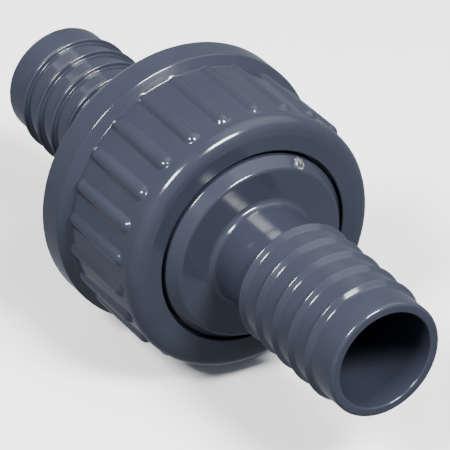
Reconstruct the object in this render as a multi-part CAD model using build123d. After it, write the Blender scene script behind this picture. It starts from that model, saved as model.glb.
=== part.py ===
from build123d import *
import os

os.makedirs("parts", exist_ok=True)

# Pipe union for 32 mm hose: two barbed tails drawn together by a screwed nut.
# Everything is turned about the X axis.  The flanged tail points to +X, the
# threaded tail to -X, and the origin is on the axis at half the overall length.

# overall
overall_length = 162.0
front_reach = 60.8        # mouth of the flanged tail to the front face of the nut
nut_length = 41.4

# hose tail, the same at both ends
tail_diameter = 32.0      # plain land at the mouth
tail_bore = tail_diameter - 5.3
crest_diameter = tail_diameter + 3.2      # before the crest is rounded
foot_diameter = tail_diameter + 0.5       # where the lead of a barb starts
root_diameter = tail_diameter             # behind a barb
barb_lead = 2.0           # axial length of the steep lead of a barb
barb_pitch = 7.5
barb_count = 5
mouth_to_crest = 10.8     # mouth to the first barb step
crest_rounding = 0.4
foot_rounding = 1.0
mouth_rounding = 0.9
neck_diameter = tail_diameter - 3.6
neck_bore = tail_diameter - 9.0
neck_rounding = 1.7

# G 2 1/4 pipe thread
thread_pitch = 2.309
thread_diameter = 65.7    # also sets the size of the flange, the collar and the nut
thread_depth = 1.48
thread_length = nut_length - 23.4         # on the threaded tail
thread_relief = 1.2       # plain nose in front of the thread
nut_thread_turns = thread_length / thread_pitch + 2.7
thread_radial_gap = 0.16
thread_flank_gap = 0.09

# joint faces inside the nut
flange_diameter = thread_diameter - 2 * thread_depth - 1.14   # passes the nut's thread
flange_thickness = 6.0
collar_diameter = flange_diameter - 8.7   # part of the flanged tail in the nut opening
collar_proud = 3.3        # collar face in front of the nut
collar_chamfer = 2.6
body_reach = 2.4          # threaded body behind the rear of the nut

# sealing ring
seal_section = 5.3
seal_inner_diameter = flange_diameter - 17.6
seal_groove_width = seal_section + 0.7
face_gap = 0.5            # joint faces, with the ring about to touch

# wide part of the water way at the joint
chamber_diameter = min(neck_bore + 15.0, seal_inner_diameter - 6.0)

# nut
opening_diameter = collar_diameter + 2.1
lip_thickness = 5.0
face_diameter = opening_diameter + 9.0    # flat part of the front face
face_slope = 0.6          # fall of the front face from there to the shoulder
panel_diameter = thread_diameter + 6.5    # between the grip ribs, at the shoulder
panel_draft = 0.5         # growth of the panel's radius from shoulder to rim
rim_diameter = panel_diameter + 6.4
rim_width = 8.2
rim_slope = 2.0           # axial length of the sloping front of the rim
shoulder_rounding = 3.2
rib_count = 24
rib_radius = 2.3
rib_height = 1.3          # at the shoulder end
rib_setback = 5.4         # front face of the nut to the rounded rib ends
rib_phase = 7.9           # angle of the first rib from straight up, degrees

# moulding mark left by the gate on the collar
gate_angle = -29.6        # from straight up, degrees
gate_diameter = 2.4
gate_height = 0.5

# working clearances
seal_gap = 0.05           # ring to flange
shoulder_gap = 0.15       # nut lip to flange
flange_gap = 0.7          # flange to the inside of the nut

# stations along the axis
mouth_x = overall_length / 2
nut_front = mouth_x - front_reach
nut_rear = nut_front - nut_length
lip_back = nut_front - lip_thickness
flange_front = lip_back - shoulder_gap
flange_back = flange_front - flange_thickness
body_front = flange_back - face_gap
body_back = nut_rear - body_reach
barb_zone = mouth_to_crest + (barb_count - 1) * barb_pitch
collar_face = nut_front + collar_proud

thread_root = thread_diameter / 2 - thread_depth
nut_thread_root = thread_diameter / 2 + thread_radial_gap
nut_thread_crest = thread_root + thread_radial_gap


def turned(points):
    """Solid of revolution about X from (x, radius) corners."""
    outline = Polyline(*[(x, 0, r) for x, r in points], close=True)
    return revolve(make_face(outline), Axis.X)


def rounded(shape, radius, corners):
    """Round the turned edges that pass through the given (x, radius) corners."""
    for x, r in corners:
        edges = [
            e for e in shape.edges()
            if e.geom_type == GeomType.CIRCLE
            and abs(e.arc_center.X - x) < 1e-4
            and abs(e.radius - r) < 1e-4
        ]
        shape = fillet(edges, radius)
    return shape


def barb_corners(mouth, side):
    """Foot and crest of each barb from the mouth on; side is +1 or -1 along X."""
    corners = []
    for n in range(barb_count):
        x = mouth - side * (mouth_to_crest + n * barb_pitch)
        foot = tail_diameter if n == 0 else foot_diameter
        corners.append(((x + side * barb_lead, foot / 2), (x, crest_diameter / 2)))
    return corners


def tail_outline(mouth, side):
    """Outside of a hose tail from mouth to neck."""
    points = [(mouth, tail_diameter / 2)]
    for foot, crest in barb_corners(mouth, side):
        points += [foot, crest, (crest[0], root_diameter / 2)]
    points[-1] = (points[-1][0], neck_diameter / 2)
    return points


def tail_bore_outline(mouth, side, chamber_end, chamber_depth):
    """Inside of a hose tail from chamber back to mouth."""
    r_bore = tail_bore / 2
    r_neck = neck_bore / 2
    step = mouth - side * barb_zone
    cone = (chamber_diameter - neck_bore) / 2
    chamber = chamber_end + side * chamber_depth
    return [
        (chamber_end, chamber_diameter / 2),
        (chamber, chamber_diameter / 2),
        (chamber + side * cone, r_neck),
        (step, r_neck),
        (step + side * 4, r_bore),
        (mouth, r_bore),
    ]


def thread_ridge(x_low, turns, r_base, r_tip, flank_gap):
    """Right-hand screw ridge about X, standing from r_base to r_tip."""
    tan_flank = 0.5206                        # 27.5 degree flanks
    half = thread_pitch / 4 - flank_gap
    lean = thread_depth / 2 * tan_flank
    sink = 0.25
    r_sunk = r_base - sink if r_tip > r_base else r_base + sink
    wide = half + lean + sink * tan_flank
    narrow = half - lean
    section = Polyline(
        (r_sunk, 0, -wide),
        (r_tip, 0, -narrow),
        (r_tip, 0, narrow),
        (r_sunk, 0, wide),
        close=True,
    )
    path = Helix(thread_pitch, turns * thread_pitch, r_base)
    ridge = sweep(make_face(section), path=path, is_frenet=True)
    return Pos(x_low, 0, 0) * Rot(0, 90, 0) * ridge


# flanged tail: hose tail, waist, collar and the flange that the nut pulls on
r_collar = collar_diameter / 2
r_neck_out = neck_diameter / 2
front_barbs = barb_corners(mouth_x, 1)
flanged_profile = tail_outline(mouth_x, 1) + [
    (collar_face, r_neck_out),
    (collar_face, r_collar - collar_chamfer),
    (collar_face - collar_chamfer, r_collar),
    (flange_front, r_collar),
    (flange_front, flange_diameter / 2),
    (flange_back, flange_diameter / 2),
] + tail_bore_outline(mouth_x, 1, flange_back, 5.0)
flanged_tail = turned(flanged_profile)
flanged_tail = rounded(flanged_tail, crest_rounding, [c for f, c in front_barbs])
flanged_tail = rounded(flanged_tail, foot_rounding, [f for f, c in front_barbs])
flanged_tail = rounded(flanged_tail, mouth_rounding, [(mouth_x, tail_diameter / 2)])
flanged_tail = rounded(flanged_tail, 0.5, [
    (mouth_x, tail_bore / 2),
    (collar_face, r_collar - collar_chamfer),
    (flange_front, flange_diameter / 2),
    (flange_back, flange_diameter / 2),
])
flanged_tail = rounded(flanged_tail, neck_rounding, [(collar_face, r_neck_out)])

# gate mark: a low nub standing square to the collar chamfer
gate_r = r_collar - collar_chamfer / 2
gate_x = collar_face - collar_chamfer / 2
nub = Rot(0, 45, 0) * Cylinder(gate_diameter / 2, 2 * gate_height)
nub = Rot(gate_angle, 0, 0) * Pos(gate_x, 0, gate_r) * nub
flanged_tail = flanged_tail + nub

# threaded tail: hose tail, waist and the screwed body with the seal groove
rear_chamber = body_front - body_back - 12.15
seal_mid = (seal_inner_diameter + seal_section) / 2
groove_depth = seal_section - face_gap + seal_gap
groove_floor = body_front - groove_depth
groove_out = seal_mid + seal_groove_width / 2
groove_in = seal_mid - seal_groove_width / 2
threaded_profile = tail_outline(-mouth_x, -1) + [
    (body_back, r_neck_out),
    (body_back, thread_root),
    (body_front, thread_root),
    (body_front, groove_out),
    (groove_floor, groove_out),
    (groove_floor, groove_in),
    (body_front, groove_in),
] + tail_bore_outline(-mouth_x, -1, body_front, rear_chamber)
threaded_tail = turned(threaded_profile)
rear_barbs = barb_corners(-mouth_x, -1)
threaded_tail = rounded(threaded_tail, crest_rounding, [c for f, c in rear_barbs])
threaded_tail = rounded(threaded_tail, foot_rounding, [f for f, c in rear_barbs])
threaded_tail = rounded(threaded_tail, mouth_rounding, [(-mouth_x, tail_diameter / 2)])
threaded_tail = rounded(threaded_tail, 0.5, [
    (-mouth_x, tail_bore / 2),
    (body_back, thread_root),
    (body_front, thread_root),
])
threaded_tail = rounded(threaded_tail, neck_rounding, [(body_back, r_neck_out)])
male_low = body_front - thread_relief - thread_length
male_thread = thread_ridge(male_low, thread_length / thread_pitch, thread_root,
                           thread_diameter / 2, thread_flank_gap)
threaded_tail = threaded_tail + male_thread

# sealing ring, lying on the floor of its groove
o_ring = Pos(groove_floor + seal_section / 2, 0, 0) * Rot(0, 90, 0) * Torus(
    seal_mid, seal_section / 2
)

# union nut: grip ribs and rim outside, lip and screw thread inside
r_panel = panel_diameter / 2
r_rim = rim_diameter / 2
r_open = opening_diameter / 2
rim_front = nut_rear + rim_width
shoulder_x = nut_front - face_slope
nut_blank = turned([
    (nut_front, r_open),
    (nut_front, face_diameter / 2),
    (shoulder_x, r_panel),
    (rim_front + rim_slope, r_panel + panel_draft),
    (rim_front, r_rim),
    (nut_rear, r_rim),
    (nut_rear, r_open),
])
nut_blank = rounded(nut_blank, shoulder_rounding, [(shoulder_x, r_panel)])
nut_blank = rounded(nut_blank, 0.8, [(nut_rear, r_rim)])
nut_blank = rounded(nut_blank, 0.6, [(rim_front, r_rim)])
rib_line = r_panel + rib_height - rib_radius
rib_front = nut_front - rib_setback - rib_radius
rib_rear = rim_front + rim_slope + 0.65 * rib_radius
rib_middle = (rib_front + rib_rear) / 2
rib = Cylinder(rib_radius, rib_front - rib_rear)
rib = Pos(rib_middle, 0, rib_line) * Rot(90, 0, 0) * Rot(0, 90, 0) * rib
rib = rib + Pos(rib_front, 0, rib_line) * Sphere(rib_radius)
rib = rib + Pos(rib_rear, 0, rib_line) * Sphere(rib_radius)
ribs = [
    Rot(rib_phase + n * 360 / rib_count, 0, 0) * rib
    for n in range(rib_count)
]
union_nut = nut_blank + ribs
cavity = turned([
    (lip_back, 0),
    (lip_back, flange_diameter / 2 + flange_gap),
    (flange_back, flange_diameter / 2 + flange_gap),
    (flange_back - 1.5, nut_thread_root),
    (nut_rear + 1.2, nut_thread_root),
    (nut_rear - 1, nut_thread_root + 2.2),
    (nut_rear - 1, 0),
])
union_nut = union_nut - cavity
union_nut = rounded(union_nut, 0.4, [(nut_front, r_open)])
female_low = male_low - 3.5 * thread_pitch
female_thread = thread_ridge(female_low, nut_thread_turns, nut_thread_root,
                             nut_thread_crest, thread_flank_gap)
union_nut = union_nut + female_thread

parts = {
    "union_nut": union_nut,
    "flanged_tail": flanged_tail,
    "threaded_tail": threaded_tail,
    "o_ring": o_ring,
}
for name, shape in parts.items():
    solid = shape.solids()[0]
    export_step(solid, f"parts/{name}.step")
    print(name, len(shape.solids()), solid.is_valid, round(solid.volume, 1))
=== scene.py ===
import math
import bmesh
import bpy
from mathutils import Matrix, Vector


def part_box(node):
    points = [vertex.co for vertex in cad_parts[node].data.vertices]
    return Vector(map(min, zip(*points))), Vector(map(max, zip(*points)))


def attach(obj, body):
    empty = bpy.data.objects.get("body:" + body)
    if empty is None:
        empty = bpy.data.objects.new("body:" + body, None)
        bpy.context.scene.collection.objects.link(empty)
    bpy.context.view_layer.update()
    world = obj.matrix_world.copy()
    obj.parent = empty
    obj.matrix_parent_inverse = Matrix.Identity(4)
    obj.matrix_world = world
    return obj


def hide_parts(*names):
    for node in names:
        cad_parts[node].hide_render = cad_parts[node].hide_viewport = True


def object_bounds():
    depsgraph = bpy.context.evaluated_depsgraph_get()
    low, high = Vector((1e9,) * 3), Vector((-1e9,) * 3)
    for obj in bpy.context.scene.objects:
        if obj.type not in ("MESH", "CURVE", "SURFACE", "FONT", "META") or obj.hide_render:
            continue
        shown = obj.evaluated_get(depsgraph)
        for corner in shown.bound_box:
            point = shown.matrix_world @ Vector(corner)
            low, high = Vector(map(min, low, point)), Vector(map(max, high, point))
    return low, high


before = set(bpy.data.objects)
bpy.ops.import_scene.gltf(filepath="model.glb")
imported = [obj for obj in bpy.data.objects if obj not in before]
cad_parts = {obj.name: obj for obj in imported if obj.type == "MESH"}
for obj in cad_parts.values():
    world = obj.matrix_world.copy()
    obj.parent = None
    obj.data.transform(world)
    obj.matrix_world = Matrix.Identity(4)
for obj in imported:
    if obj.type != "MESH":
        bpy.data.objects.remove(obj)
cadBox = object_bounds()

# Pipe union: two hose tails, a screwed nut and a seal ring.
# The axis is X. The flanged tail points to +X, the threaded tail to -X, Z is up.
mm = 0.001


class Wire:
    # One output socket of a node. Arithmetic on it adds Math nodes.
    def __init__(self, board, socket):
        self.board = board
        self.socket = socket

    def maths(self, operation, *others):
        values = dict(enumerate((self,) + others))
        return self.board.add("ShaderNodeMath", {"operation": operation}, values)

    def take(self, output):
        return Wire(self.board, self.socket.node.outputs[output])

    def __add__(self, other): return self.maths("ADD", other)
    def __radd__(self, other): return self.maths("ADD", other)
    def __sub__(self, other): return self.maths("SUBTRACT", other)
    def __rsub__(self, other): return (-self).maths("ADD", other)
    def __neg__(self): return self.maths("MULTIPLY", -1.0)
    def __mul__(self, other): return self.maths("MULTIPLY", other)
    def __rmul__(self, other): return self.maths("MULTIPLY", other)
    def __truediv__(self, other): return self.maths("DIVIDE", other)
    def __rtruediv__(self, other): return (self ** -1.0) * other
    def __pow__(self, other): return self.maths("POWER", other)
    def __mod__(self, other): return self.maths("MODULO", other)
    def __gt__(self, other): return self.maths("GREATER_THAN", other)

    def floor(self): return self.maths("FLOOR")
    def sin(self): return self.maths("SINE")
    def cos(self): return self.maths("COSINE")
    def root(self): return self.maths("SQRT")
    def least(self, other): return self.maths("MINIMUM", other)
    def most(self, other): return self.maths("MAXIMUM", other)
    def clip(self): return self.most(0.0).least(1.0)


class Board:
    # A node tree that nodes are added to, geometry or shader.
    def __init__(self, tree):
        self.tree = tree
        self.ports = None

    def add(self, kind, settings=None, sockets=None, out=0):
        node = self.tree.nodes.new(kind)
        for name, value in (settings or {}).items():
            setattr(node, name, value)
        for key, value in (sockets or {}).items():
            if isinstance(value, Wire):
                self.tree.links.new(value.socket, node.inputs[key])
            else:
                node.inputs[key].default_value = value
        return Wire(self, node.outputs[out])

    def port(self, name, kind, value=None):
        item = self.tree.interface.new_socket(
            name=name, in_out="INPUT", socket_type="NodeSocket" + kind)
        if value is not None:
            item.default_value = value
        if self.ports is None:
            self.ports = self.tree.nodes.new("NodeGroupInput")
        return Wire(self, self.ports.outputs[name])

    def leave(self, geometry):
        self.tree.interface.new_socket(
            name="Geometry", in_out="OUTPUT", socket_type="NodeSocketGeometry")
        end = self.tree.nodes.new("NodeGroupOutput")
        self.tree.links.new(geometry.socket, end.inputs[0])


def newTree(name):
    return Board(bpy.data.node_groups.new(name, "GeometryNodeTree"))


def turningTree():
    # Turns a closed outline of (x, radius) points about X.
    # With a lead it makes a screw ridge that fades out at both ends.
    b = newTree("turnedPiece")
    outline = b.port("Geometry", "Geometry")
    steps = b.port("Steps", "Int", 180)
    turns = b.port("Turns", "Float", 1.0)
    lead = b.port("Lead", "Float", 0.0)
    startAngle = b.port("Start Angle", "Float", 0.0)
    arcPoints = b.port("Arc Points", "Int", 4)
    fading = b.port("Faded Ends", "Float", 0.0)
    fadeTurns = b.port("Fade Turns", "Float", 0.5)
    footRadius = b.port("Foot Radius", "Float", 0.0)
    sharpAngle = b.port("Sharp Angle", "Float", 0.6)
    finish = b.port("Finish", "Material")

    curve = b.add("GeometryNodeMeshToCurve", {}, {0: outline})
    rounding = b.add("GeometryNodeInputNamedAttribute", {"data_type": "FLOAT"},
                     {"Name": "rounding"})
    curve = b.add("GeometryNodeFilletCurve", {"mode": "POLY"},
                  {"Curve": curve, "Count": arcPoints, "Radius": rounding,
                   "Limit Radius": True})
    count = b.add("GeometryNodeAttributeDomainSize", {"component": "CURVE"},
                  {0: curve}, "Point Count")
    rows = count + 1.0
    columns = steps + 1.0
    grid = b.add("GeometryNodeMeshGrid", {},
                 {"Size X": 1.0, "Size Y": 1.0, "Vertices X": rows, "Vertices Y": columns})
    index = b.add("GeometryNodeInputIndex")
    row = ((index + 0.5) / columns).floor()
    column = index - row * columns
    place = b.add("GeometryNodeInputPosition")
    point = b.add("GeometryNodeSampleIndex",
                  {"data_type": "FLOAT_VECTOR", "domain": "POINT"},
                  {"Geometry": curve, "Value": place, "Index": row % count})
    parts = b.add("ShaderNodeSeparateXYZ", {}, {0: point})
    share = column / steps
    ramp = (share.least(1.0 - share) * turns / fadeTurns).clip()
    keep = 1.0 - fading * (1.0 - ramp)
    angle = share * turns * math.tau + startAngle
    x = parts * (1.0 - fading * (1.0 - keep)) + share * turns * lead
    radius = footRadius + (parts.take("Z") - footRadius) * keep
    spot = b.add("ShaderNodeCombineXYZ", {},
                 {0: x, 1: -(radius * angle.sin()), 2: radius * angle.cos()})
    shape = b.add("GeometryNodeSetPosition", {}, {"Geometry": grid, "Position": spot})
    shape = b.add("GeometryNodeMergeByDistance", {}, {"Geometry": shape, "Distance": 2e-6})
    shape = b.add("GeometryNodeSetShadeSmooth", {"domain": "FACE"},
                  {"Geometry": shape, "Shade Smooth": True})
    bend = b.add("GeometryNodeInputMeshEdgeAngle")
    shape = b.add("GeometryNodeSetShadeSmooth", {"domain": "EDGE"},
                  {"Geometry": shape, "Selection": bend > sharpAngle, "Shade Smooth": False})
    shape = b.add("GeometryNodeRealizeInstances", {}, {0: shape})
    shape = b.add("GeometryNodeSetMaterial", {}, {"Geometry": shape, "Material": finish})
    b.leave(shape)
    return b.tree


def ribTree():
    # Raises round grip ribs on a turned piece and blends them into it.
    b = newTree("gripRibs")
    shape = b.port("Geometry", "Geometry")
    ribCount = b.port("Rib Count", "Float", 24.0)
    phase = b.port("First Rib", "Float", 0.0)
    ribRadius = b.port("Rib Radius", "Float", 0.002)
    lineRadius = b.port("Line Radius", "Float", 0.035)
    frontX = b.port("Front End", "Float", 0.01)
    rearX = b.port("Rear End", "Float", 0.0)
    blend = b.port("Blend", "Float", 0.0004)
    floorRadius = b.port("Lowest Radius", "Float", 0.03)
    finish = b.port("Finish", "Material")

    place = b.add("GeometryNodeInputPosition")
    parts = b.add("ShaderNodeSeparateXYZ", {}, {0: place})
    y = parts.take("Y")
    z = parts.take("Z")
    radius = (y * y + z * z).root()
    angle = (-y).maths("ARCTAN2", z)
    pitch = math.tau / ribCount
    off = (angle - phase) / pitch
    near = off - (off + 0.5).floor()
    across = lineRadius * (near * pitch)
    ahead = (parts - frontX).most(0.0)
    behind = (rearX - parts).most(0.0)
    high = (ribRadius * ribRadius - across * across - ahead * ahead
            - behind * behind).most(0.0).root()
    raised = radius.maths("SMOOTH_MAX", lineRadius + high, blend)
    lift = (raised - radius) / radius
    touched = (radius > floorRadius)
    spot = b.add("ShaderNodeCombineXYZ", {},
                 {0: 0.0, 1: y * lift * touched, 2: z * lift * touched})
    shape = b.add("GeometryNodeSetPosition", {}, {"Geometry": shape, "Offset": spot})
    shape = b.add("GeometryNodeRealizeInstances", {}, {0: shape})
    shape = b.add("GeometryNodeSetMaterial", {}, {"Geometry": shape, "Material": finish})
    b.leave(shape)
    return b.tree


def wearTree():
    # Marks outer edges and inner corners, for the finishes to read.
    b = newTree("edgeMarks")
    shape = b.port("Geometry", "Geometry")
    finish = b.port("Finish", "Material")
    bend = b.add("GeometryNodeInputMeshEdgeAngle", {}, {}, "Signed Angle")
    for name, sign in (("outerEdge", 1.0), ("innerCorner", -1.0)):
        mark = ((bend * sign - 0.12) * 2.6).clip()
        soft = b.add("GeometryNodeBlurAttribute", {"data_type": "FLOAT"},
                     {"Value": mark, "Iterations": 2})
        shape = b.add("GeometryNodeStoreNamedAttribute",
                      {"data_type": "FLOAT", "domain": "POINT"},
                      {"Geometry": shape, "Name": name, "Value": soft})
    shape = b.add("GeometryNodeRealizeInstances", {}, {0: shape})
    shape = b.add("GeometryNodeSetMaterial", {}, {"Geometry": shape, "Material": finish})
    b.leave(shape)
    return b.tree


def addTree(piece, tree, values):
    # Adds a tree to a piece; each value goes in by its socket's identifier.
    modifier = piece.modifiers.new(tree.name, "NODES")
    modifier.node_group = tree
    for item in tree.interface.items_tree:
        if item.in_out == "INPUT" and item.name in values:
            modifier[item.identifier] = values[item.name]


noSupport = 10.0    # mm; support points this far off are left out


def outlinePiece(name, corners, clear=0.12):
    # A loop of edges from (x, radius, rounding) corners in mm.
    # A support point stands just clear of each rounding, to keep the flats flat.
    points = []
    total = len(corners)
    for n, (x, r, rounding) in enumerate(corners):
        here = Vector((x, r))
        sides = []
        for other in (corners[n - 1], corners[(n + 1) % total]):
            arm = Vector(other[:2]) - here
            sides.append((arm.normalized(), arm.length))
        opening = sides[0][0].angle(sides[1][0])
        reach = rounding / math.tan(opening / 2) if rounding else 0.0
        stand = reach + clear
        before, after = [[(here + direction * stand, 0.0)] if length > 2 * stand else []
                         for direction, length in sides]
        points += before + [(here, rounding)] + after
    mesh = bpy.data.meshes.new(name)
    places = [(p.x * mm, 0.0, p.y * mm) for p, rounding in points]
    loop = [(n, (n + 1) % len(places)) for n in range(len(places))]
    mesh.from_pydata(places, loop, [])
    attribute = mesh.attributes.new("rounding", "FLOAT", "POINT")
    for n, (p, rounding) in enumerate(points):
        attribute.data[n].value = rounding * mm
    piece = bpy.data.objects.new(name, mesh)
    bpy.context.scene.collection.objects.link(piece)
    return piece


def settle(piece):
    # Turns a piece's trees into a plain mesh with its faces outwards.
    bpy.context.view_layer.update()
    graph = bpy.context.evaluated_depsgraph_get()
    mesh = bpy.data.meshes.new_from_object(
        piece.evaluated_get(graph), preserve_all_data_layers=True, depsgraph=graph)
    piece.modifiers.clear()
    old = piece.data
    piece.data = mesh
    bpy.data.meshes.remove(old)
    mesh.name = piece.name
    bm = bmesh.new()
    bm.from_mesh(mesh)
    if bm.calc_volume(signed=True) < 0:
        bmesh.ops.reverse_faces(bm, faces=bm.faces[:])
    bm.to_mesh(mesh)
    bm.free()
    return piece


def joined(piece, extra):
    # Moves the mesh of extra into piece.
    bm = bmesh.new()
    bm.from_mesh(piece.data)
    bm.from_mesh(extra.data)
    bm.to_mesh(piece.data)
    bm.free()
    old = extra.data
    bpy.data.objects.remove(extra)
    bpy.data.meshes.remove(old)
    return piece


turning = turningTree()
ribbing = ribTree()
marking = wearTree()


def turnedPiece(name, corners, finish, steps, startAngle=0.0):
    piece = outlinePiece(name, corners)
    addTree(piece, turning, {"Steps": steps, "Turns": 1.0, "Arc Points": 5,
                             "Sharp Angle": 0.6, "Start Angle": startAngle,
                             "Finish": finish})
    return piece


def screwRidge(name, xLow, turns, base, tip, screw, finish):
    # The ridge of a screw thread; it starts and ends by fading into its wall.
    slant = math.tan(math.radians(screw["flankAngle"]))
    half = screw["pitch"] / 4 - screw["flankGap"]
    lean = screw["depth"] / 2 * slant
    foot = base - screw["sunk"] if tip > base else base + screw["sunk"]
    wide = half + lean + screw["sunk"] * slant
    narrow = half - lean
    corners = [(-wide, foot, 0), (-narrow, tip, screw["tipRounding"]),
               (narrow, tip, screw["tipRounding"]), (wide, foot, 0)]
    ridge = outlinePiece(name, corners, clear=noSupport)
    addTree(ridge, turning, {
        "Steps": int(turns * screw["stepsPerTurn"]), "Turns": turns,
        "Lead": screw["pitch"] * mm, "Arc Points": 2, "Faded Ends": 1.0,
        "Fade Turns": screw["fadeTurns"], "Foot Radius": foot * mm,
        "Sharp Angle": 0.6, "Finish": finish})
    settle(ridge)
    ridge.data.transform(Matrix.Translation((xLow * mm, 0, 0)))
    return ridge


def noise(b, place, scale, detail=3.0, roughness=0.55):
    return b.add("ShaderNodeTexNoise", {"noise_dimensions": "3D"},
                 {"Vector": place, "Scale": scale, "Detail": detail, "Roughness": roughness})


def blendColour(b, share, first, second, mode="MIX"):
    node = b.add("ShaderNodeMix", {"data_type": "RGBA", "blend_type": mode},
                 {0: share}, 2)
    for slot, colour in ((6, first), (7, second)):
        if isinstance(colour, Wire):
            b.tree.links.new(colour.socket, node.socket.node.inputs[slot])
        else:
            node.socket.node.inputs[slot].default_value = (*colour, 1.0)
    return node


def newFinish(name):
    material = bpy.data.materials.new(name)
    material.use_nodes = True
    b = Board(material.node_tree)
    b.tree.nodes.clear()
    return material, b


def showShader(b, shader):
    end = b.tree.nodes.new("ShaderNodeOutputMaterial")
    b.tree.links.new(shader.socket, end.inputs["Surface"])


pvcLook = {
    "colour": (0.0190, 0.0220, 0.0330),    # slate grey with a blue cast
    "paler": (0.0245, 0.0280, 0.0405),
    # pale colour for outer edges: scuffed wear plus a painted edge highlight
    "wornHighlight": (0.085, 0.095, 0.120),
    "dust": (0.070, 0.074, 0.082),
    "roughness": 0.13,
    "flowScale": 38.0,       # slow flow of the melt round the piece
    "cloudScale": 130.0,
    "ringScale": 1500.0,     # fine turning marks from the mould
    "speckScale": 2600.0,
    "peelScale": 620.0,
    "turningMarks": 0.07,
    "orangePeel": 0.11,
    "specks": 0.01,
}


def pvcFinish(name, look):
    material, b = newFinish(name)
    place = b.add("ShaderNodeTexCoord", {}, {}, "Object")
    parts = b.add("ShaderNodeSeparateXYZ", {}, {0: place})
    x = parts.take("X")
    y = parts.take("Y")
    z = parts.take("Z")
    radius = (y * y + z * z).root()
    flow = noise(b, place, look["flowScale"], 4.0, 0.6)
    cloud = noise(b, place, look["cloudScale"], 3.0)
    # the turning marks run round the axis, and the flow makes them waver
    rings = b.add("ShaderNodeCombineXYZ", {}, {
        0: x * look["ringScale"] + flow * 1.6, 1: radius * look["ringScale"], 2: flow * 3.0})
    marks = noise(b, rings, 1.0, 2.0, 0.7)
    specks = noise(b, place, look["speckScale"], 2.0, 0.5)
    peel = noise(b, place, look["peelScale"], 2.0, 0.5)
    outer = b.add("ShaderNodeAttribute", {"attribute_name": "outerEdge"}, {}, "Fac")
    inner = b.add("ShaderNodeAttribute", {"attribute_name": "innerCorner"}, {}, "Fac")
    # outer edges are lightened in patches: scuffing wear plus a painted highlight along the
    # edges
    rubbedAndHighlit = (outer * ((cloud - 0.42) * 5.0).clip()).clip()
    dusty = (inner * (flow + 0.25)).clip() * 0.55 + ((specks - 0.66) * 6.0).clip() * 0.10
    colour = blendColour(b, ((flow - 0.35) * 2.2).clip(), look["colour"], look["paler"])
    colour = blendColour(b, rubbedAndHighlit * 0.45, colour, look["wornHighlight"])
    colour = blendColour(b, dusty * 0.5, colour, look["dust"])
    gloss = (look["roughness"] + (cloud - 0.5) * 0.10 + (marks - 0.5) * 0.06
             + rubbedAndHighlit * 0.10 + dusty * 0.18)
    bumpy = (marks * look["turningMarks"] + peel * look["orangePeel"]
             + specks * look["specks"])
    bump = b.add("ShaderNodeBump", {}, {"Strength": 0.10, "Distance": 0.00012, "Height": bumpy})
    shader = b.add("ShaderNodeBsdfPrincipled", {}, {
        "Base Color": colour, "Roughness": gloss, "Normal": bump,
        "IOR": 1.52, "Specular IOR Level": 0.5})
    showShader(b, shader)
    return material


rubberLook = {
    "colour": (0.016, 0.016, 0.017),
    "bloom": (0.050, 0.050, 0.052),       # pale bloom on old rubber
    "roughness": 0.52,
}


def rubberFinish(name, look):
    material, b = newFinish(name)
    place = b.add("ShaderNodeTexCoord", {}, {}, "Object")
    cloud = noise(b, place, 160.0, 4.0, 0.6)
    grain = noise(b, place, 1900.0, 3.0, 0.6)
    bloom = ((cloud - 0.46) * 3.0).clip()
    colour = blendColour(b, bloom * 0.7, look["colour"], look["bloom"])
    gloss = look["roughness"] + bloom * 0.16 + (grain - 0.5) * 0.10
    bump = b.add("ShaderNodeBump", {}, {"Strength": 0.3, "Distance": 0.0001, "Height": grain})
    shader = b.add("ShaderNodeBsdfPrincipled", {}, {
        "Base Color": colour, "Roughness": gloss, "Normal": bump, "IOR": 1.52})
    showShader(b, shader)
    return material


gateLook = {
    "colour": (0.022, 0.025, 0.035),
    "torn": (0.78, 0.80, 0.84),           # plastic whitened where the sprue broke off
    "roughness": 0.30,
}


def gateFinish(name, look):
    material, b = newFinish(name)
    place = b.add("ShaderNodeTexCoord", {}, {}, "Object")
    grain = noise(b, place, 1700.0, 4.0, 0.65)
    patch = noise(b, place, 900.0, 2.0, 0.5)
    torn = b.add("ShaderNodeAttribute", {"attribute_name": "outerEdge"}, {}, "Fac")
    white = ((torn * 1.7 + (patch - 0.5) * 1.4) * (grain + 0.45)).clip()
    colour = blendColour(b, white, look["colour"], look["torn"])
    gloss = look["roughness"] + white * 0.25 + (grain - 0.5) * 0.12
    bump = b.add("ShaderNodeBump", {}, {"Strength": 0.7, "Distance": 0.00015, "Height": grain})
    shader = b.add("ShaderNodeBsdfPrincipled", {}, {
        "Base Color": colour, "Roughness": gloss, "Normal": bump, "IOR": 1.53})
    showShader(b, shader)
    return material


nutPvc = pvcFinish("slatePvcNut", pvcLook)
tailPvc = pvcFinish("slatePvcTail", pvcLook)
sealRubber = rubberFinish("sealRubber", rubberLook)
gatePlastic = gateFinish("tornPlastic", gateLook)
print("finishes made")


# sizes that several pieces share, in mm
screw = {
    "diameter": 65.7, "pitch": 2.309, "depth": 1.48, "flankAngle": 27.5,
    "flankGap": 0.09, "radialGap": 0.16, "tipRounding": 0.12,
    "sunk": 0.25,            # how far the foot of the ridge lies inside its wall
    "fadeTurns": 0.35, "stepsPerTurn": 72,
}
hoseTail = {
    "mouthRadius": 16.0, "boreRadius": 13.35, "crestRadius": 17.6, "footRadius": 16.25,
    "rootRadius": 16.0, "lead": 2.0, "pitch": 7.5, "barbs": 5, "firstBarb": 10.8,
    "neckRadius": 14.2, "neckBore": 11.5, "chamberRadius": 19.0,
    "crestRounding": 0.4, "footRounding": 1.0, "mouthRounding": 0.9, "steps": 240,
}


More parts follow.
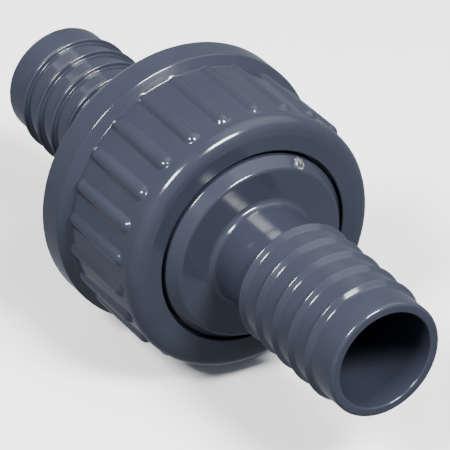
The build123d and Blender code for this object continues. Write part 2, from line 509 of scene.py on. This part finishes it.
def tailOutside(mouth, side):
    # From the mouth to the waist: each barb has a steep lead and a square back.
    t = hoseTail
    corners = [(mouth, t["mouthRadius"], t["mouthRounding"])]
    for n in range(t["barbs"]):
        x = mouth - side * (t["firstBarb"] + n * t["pitch"])
        foot = t["mouthRadius"] if n == 0 else t["footRadius"]
        behind = t["neckRadius"] if n == t["barbs"] - 1 else t["rootRadius"]
        corners += [(x + side * t["lead"], foot, t["footRounding"]),
                    (x, t["crestRadius"], t["crestRounding"]),
                    (x, behind, 0.25)]
    return corners


def tailInside(mouth, side, chamberEnd, chamberDepth):
    # From the wide chamber through the neck to the mouth.
    t = hoseTail
    cone = t["chamberRadius"] - t["neckBore"]
    step = mouth - side * (t["firstBarb"] + (t["barbs"] - 1) * t["pitch"])
    chamber = chamberEnd + side * chamberDepth
    return [(chamberEnd, t["chamberRadius"], 0.3),
            (chamber, t["chamberRadius"], 0.8),
            (chamber + side * cone, t["neckBore"], 1.2),
            (step, t["neckBore"], 1.5),
            (step + side * 4, t["boreRadius"], 1.5),
            (mouth, t["boreRadius"], 0.5)]


# flanged tail
flangedLow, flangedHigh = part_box("flanged_tail")
nutLow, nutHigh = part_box("union_nut")
frontMouth = flangedHigh.x / mm
flangeBack = flangedLow.x / mm
flangeRadius = flangedHigh.z / mm
nutFront = nutHigh.x / mm
nutRear = nutLow.x / mm

collar = {"radius": 26.45, "proud": 3.3, "flange": 6.0, "waistRounding": 1.7,
          "faceRadius": 24.1, "slopeLength": 3.2, "faceRounding": 1.1, "edgeRounding": 0.6,
          "chamberDepth": 5.0}

face = nutFront + collar["proud"]
corners = tailOutside(frontMouth, 1) + [
    (face, hoseTail["neckRadius"], collar["waistRounding"]),
    (face, collar["faceRadius"], collar["faceRounding"]),
    (face - collar["slopeLength"], collar["radius"], collar["edgeRounding"]),
    (flangeBack + collar["flange"], collar["radius"], 0.3),
    (flangeBack + collar["flange"], flangeRadius, 0.5),
    (flangeBack, flangeRadius, 0.5),
] + tailInside(frontMouth, 1, flangeBack, collar["chamberDepth"])
flangedTail = turnedPiece("flangedTail", corners, tailPvc, hoseTail["steps"])
addTree(flangedTail, marking, {"Finish": tailPvc})
settle(flangedTail)
print("flanged tail turned", len(flangedTail.data.polygons))

# gate mark: the stub left where the sprue broke off the collar

gateMark = {"angle": -29.6, "ringRadius": 1.85, "stubRadius": 1.05, "height": 0.34,
            "setback": 1.6, "raggedness": 0.09}


def makeGateMark(g):
    h = g["height"]
    ring = g["ringRadius"]
    stub = g["stubRadius"]
    corners = [(-0.4, 0.001, 0), (-0.4, ring, 0), (0.12, ring, 0.05), (0.12, ring - 0.18, 0.05),
               (0.02, ring - 0.26, 0.03), (0.02, stub + 0.12, 0.03), (h, stub, 0.08),
               (h, stub - 0.34, 0.08), (0.04, stub - 0.52, 0.04), (0.04, 0.001, 0)]
    piece = outlinePiece("gateMark", corners, clear=noSupport)
    addTree(piece, turning, {"Steps": 40, "Turns": 1.0, "Arc Points": 3,
                            "Sharp Angle": 1.2, "Finish": gatePlastic})
    addTree(piece, marking, {"Finish": gatePlastic})
    settle(piece)
    for vertex in piece.data.vertices:       # the break is not quite round
        spot = vertex.co
        turn = math.atan2(spot.y, spot.z)
        swell = math.sin(2 * turn + 0.6) + 0.6 * math.sin(3 * turn + 2.0)
        spot.y *= 1 + g["raggedness"] * swell
        spot.z *= 1 + g["raggedness"] * swell
    # stand it square to the slope of the collar, then turn it round the axis
    fall = (collar["radius"] - collar["faceRadius"]) / collar["slopeLength"]
    seat = Vector((face - g["setback"], 0, collar["faceRadius"] + fall * g["setback"])) * mm
    place = (Matrix.Rotation(math.radians(g["angle"]), 4, "X")
             @ Matrix.Translation(seat)
             @ Matrix.Rotation(math.atan(fall) - math.pi / 2, 4, "Y"))
    piece.data.transform(place)
    return piece


gateStub = makeGateMark(gateMark)
print("gate mark made")

# threaded tail
threadedLow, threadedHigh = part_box("threaded_tail")
rearMouth = threadedLow.x / mm
bodyFront = threadedHigh.x / mm
threadRoot = screw["diameter"] / 2 - screw["depth"]

body = {"reach": 2.4, "threadLength": 18.0, "relief": 1.2,
        "grooveWidth": 6.0, "sealMiddle": 24.65, "grooveDepth": 4.85, "chamberDepth": 20.0}

bodyBack = nutRear - body["reach"]
grooveFloor = bodyFront - body["grooveDepth"]
grooveOut = body["sealMiddle"] + body["grooveWidth"] / 2
grooveIn = body["sealMiddle"] - body["grooveWidth"] / 2
corners = tailOutside(rearMouth, -1) + [
    (bodyBack, hoseTail["neckRadius"], collar["waistRounding"]),
    (bodyBack, threadRoot, 0.5),
    (bodyFront, threadRoot, 0.5),
    (bodyFront, grooveOut, 0.2),
    (grooveFloor, grooveOut, 0.3),
    (grooveFloor, grooveIn, 0.3),
    (bodyFront, grooveIn, 0.2),
] + tailInside(rearMouth, -1, bodyFront, body["chamberDepth"])
threadedTail = turnedPiece("threadedTail", corners, tailPvc, hoseTail["steps"])
addTree(threadedTail, marking, {"Finish": tailPvc})
settle(threadedTail)
maleLow = bodyFront - body["relief"] - body["threadLength"]
maleRidge = screwRidge("maleThread", maleLow, body["threadLength"] / screw["pitch"],
                       threadRoot, screw["diameter"] / 2, screw, tailPvc)
joined(threadedTail, maleRidge)
print("threaded tail turned", len(threadedTail.data.polygons))

# seal ring: a square outline rounded to a full circle
ringLow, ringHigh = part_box("o_ring")
half = (ringHigh.x - ringLow.x) / 2 / mm
middle = (ringHigh.x + ringLow.x) / 2 / mm
ringLine = ringHigh.z / mm - half
corners = [(middle - half, ringLine - half, half), (middle + half, ringLine - half, half),
           (middle + half, ringLine + half, half), (middle - half, ringLine + half, half)]
sealRing = outlinePiece("sealRing", corners, clear=noSupport)
addTree(sealRing, turning, {"Steps": 160, "Turns": 1.0, "Arc Points": 7,
                            "Sharp Angle": 1.2, "Finish": sealRubber})
settle(sealRing)
print("seal ring turned")

# union nut, with its ribs in one tree
nut = {
    "openingRadius": 27.5, "lip": 5.0, "faceRadius": 32.0, "faceSlope": 0.6,
    "panelRadius": 36.1, "panelDraft": 0.5, "shoulder": 3.2, "rimWidth": 8.2, "rimSlope": 2.0,
    "ribs": 24, "ribRadius": 2.3, "ribHeight": 1.3, "ribSetback": 5.4, "ribOverlap": 0.65,
    "ribBlend": 0.5, "firstRib": 7.9, "stepsPerRib": 27, "rowStep": 0.22,
    "flangeGap": 0.7, "threadTurns": 10.5, "threadLead": 3.5,
}

rimRadius = nutHigh.z / mm
rimFront = nutRear + nut["rimWidth"]
lipBack = nutFront - nut["lip"]
seatRadius = flangeRadius + nut["flangeGap"]
nutThreadRoot = screw["diameter"] / 2 + screw["radialGap"]
ribLine = nut["panelRadius"] + nut["ribHeight"] - nut["ribRadius"]
ribFront = nutFront - nut["ribSetback"] - nut["ribRadius"]
panelRear = rimFront + nut["rimSlope"]
ribRear = panelRear + nut["ribOverlap"] * nut["ribRadius"]
panelFront = nutFront - nut["faceSlope"]


def panelAt(x):
    # The panel's corner at x; it grows a little towards the rim.
    share = (panelFront - x) / (panelFront - panelRear)
    return (x, nut["panelRadius"] + nut["panelDraft"] * share, 0)


corners = [(nutFront, nut["openingRadius"], 0.4),
           (nutFront, nut["faceRadius"], 0.35),
           (panelFront, nut["panelRadius"], nut["shoulder"])]
# the panel is cut finely where the ribs start and where they end
row = panelFront - nut["shoulder"] - 0.6
while row > ribFront - 0.6:
    corners.append(panelAt(row))
    row -= nut["rowStep"]
for share in (0.2, 0.4, 0.6, 0.8):
    corners.append(panelAt(ribFront + (ribRear - ribFront) * share))
row = ribRear + 0.4
while row > panelRear + 0.3:
    corners.append(panelAt(row))
    row -= nut["rowStep"]
slopeFoot = nut["panelRadius"] + nut["panelDraft"]
corners.append((panelRear, slopeFoot, 0.35))
for share in (0.3, 0.5, 0.7):
    corners.append((panelRear - nut["rimSlope"] * share,
                    slopeFoot + (rimRadius - slopeFoot) * share, 0))
corners += [(rimFront, rimRadius, 0.6),
            (nutRear, rimRadius, 0.8),
            (nutRear, nutThreadRoot + 1.2, 0.3),
            (nutRear + 1.2, nutThreadRoot, 0.3),
            (flangeBack - 1.5, nutThreadRoot, 0.3),
            (flangeBack, seatRadius, 0.3),
            (lipBack, seatRadius, 0.5),
            (lipBack, nut["openingRadius"], 0.3)]
unionNut = turnedPiece("unionNut", corners, nutPvc, nut["ribs"] * nut["stepsPerRib"],
                       startAngle=math.radians(nut["firstRib"]))
addTree(unionNut, ribbing, {
    "Rib Count": float(nut["ribs"]), "First Rib": math.radians(nut["firstRib"]),
    "Rib Radius": nut["ribRadius"] * mm, "Line Radius": ribLine * mm,
    "Front End": ribFront * mm, "Rear End": ribRear * mm, "Blend": nut["ribBlend"] * mm,
    "Lowest Radius": (nut["panelRadius"] - 0.2) * mm, "Finish": nutPvc})
addTree(unionNut, marking, {"Finish": nutPvc})
settle(unionNut)
femaleLow = maleLow - nut["threadLead"] * screw["pitch"]
femaleRidge = screwRidge("nutThread", femaleLow, nut["threadTurns"], nutThreadRoot,
                         threadRoot + screw["radialGap"], screw, nutPvc)
joined(unionNut, femaleRidge)
print("union nut turned", len(unionNut.data.polygons))

# what each piece stands for and moves with
for piece, node, bodyName, slotName in (
        (flangedTail, "flanged_tail", "flanged_end", "tail_pvc"),
        (threadedTail, "threaded_tail", "threaded_end", "tail_pvc"),
        (sealRing, "o_ring", "threaded_end", "seal_rubber"),
        (unionNut, "union_nut", "nut", "nut_pvc")):
    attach(piece, bodyName)
    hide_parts(node)
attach(gateStub, "flanged_end")

# floor, light and camera
studio = {
    "floorColour": (0.90, 0.90, 0.90), "floorPaler": (0.95, 0.95, 0.95), "floorReach": 3.0,
    "worldColour": (0.80, 0.87, 1.0), "worldStrength": 0.42,
    "cameraPlace": (0.67546, -0.41605, 0.50077),
    "cameraRight": (0.52798, 0.84926, 0.0), "cameraUp": (-0.45606, 0.28353, 0.84358),
    "lens": 287.07, "sensor": 36.0,
}
# azimuth and elevation in degrees, distance, width and height in metres, power, spread
softBoxes = {
    "rightBox": (10, 50, 1.5, 0.50, 0.40, 7.4, 60),
    "leftBox": (-76, 48, 1.5, 0.44, 0.40, 5.2, 60),
    "backBox": (95, 60, 1.8, 2.6, 2.2, 7.0, 100),
    "fillBox": (180, 18, 1.8, 1.0, 1.0, 1.8, 100),
}

floorMesh = bpy.data.meshes.new("floor")
low = cadBox[0][2]
reach = studio["floorReach"]
floorMesh.from_pydata([(-reach, -reach, low), (reach, -reach, low), (reach, reach, low),
                       (-reach, reach, low)], [], [(0, 1, 2, 3)])
floor = bpy.data.objects.new("floor", floorMesh)
bpy.context.scene.collection.objects.link(floor)
floorFinish, b = newFinish("paleFloor")
grain = noise(b, b.add("ShaderNodeTexCoord", {}, {}, "Object"), 30.0)
tone = blendColour(b, grain, studio["floorColour"], studio["floorPaler"])
shader = b.add("ShaderNodeBsdfPrincipled", {}, {"Base Color": tone, "Roughness": 0.9})
showShader(b, shader)
floorMesh.materials.append(floorFinish)
floor.visible_glossy = False     # keeps the white floor out of the gloss of the plastic
floor.visible_diffuse = False    # and its bounce off the undersides

world = bpy.data.worlds.new("studio")
bpy.context.scene.world = world
world.use_nodes = True
background = world.node_tree.nodes["Background"]
background.inputs[0].default_value = (*studio["worldColour"], 1)
background.inputs[1].default_value = studio["worldStrength"]


def softBox(name, azimuth, elevation, distance, width, height, power, spread):
    # A soft light that faces the union from the given direction.
    light = bpy.data.lights.new(name, "AREA")
    light.shape = "RECTANGLE"
    light.size = width
    light.size_y = height
    light.energy = power
    light.spread = math.radians(spread)
    a = math.radians(azimuth)
    e = math.radians(elevation)
    aim = Vector((math.cos(e) * math.cos(a), math.cos(e) * math.sin(a), math.sin(e)))
    lamp = bpy.data.objects.new(name, light)
    lamp.location = aim * distance
    lamp.rotation_euler = aim.to_track_quat("Z", "Y").to_euler()
    bpy.context.scene.collection.objects.link(lamp)


for name, values in softBoxes.items():
    softBox(name, *values)

right = Vector(studio["cameraRight"])
up = Vector(studio["cameraUp"])
camera = bpy.data.objects.new("camera", bpy.data.cameras.new("camera"))
camera.data.sensor_width = studio["sensor"]
camera.data.lens = studio["lens"]
camera.data.clip_start = 0.05
camera.data.clip_end = 20.0
turn = Matrix((right, up, right.cross(up))).transposed().to_4x4()
camera.matrix_world = Matrix.Translation(studio["cameraPlace"]) @ turn
bpy.context.scene.collection.objects.link(camera)
bpy.context.scene.camera = camera
print("studio set")
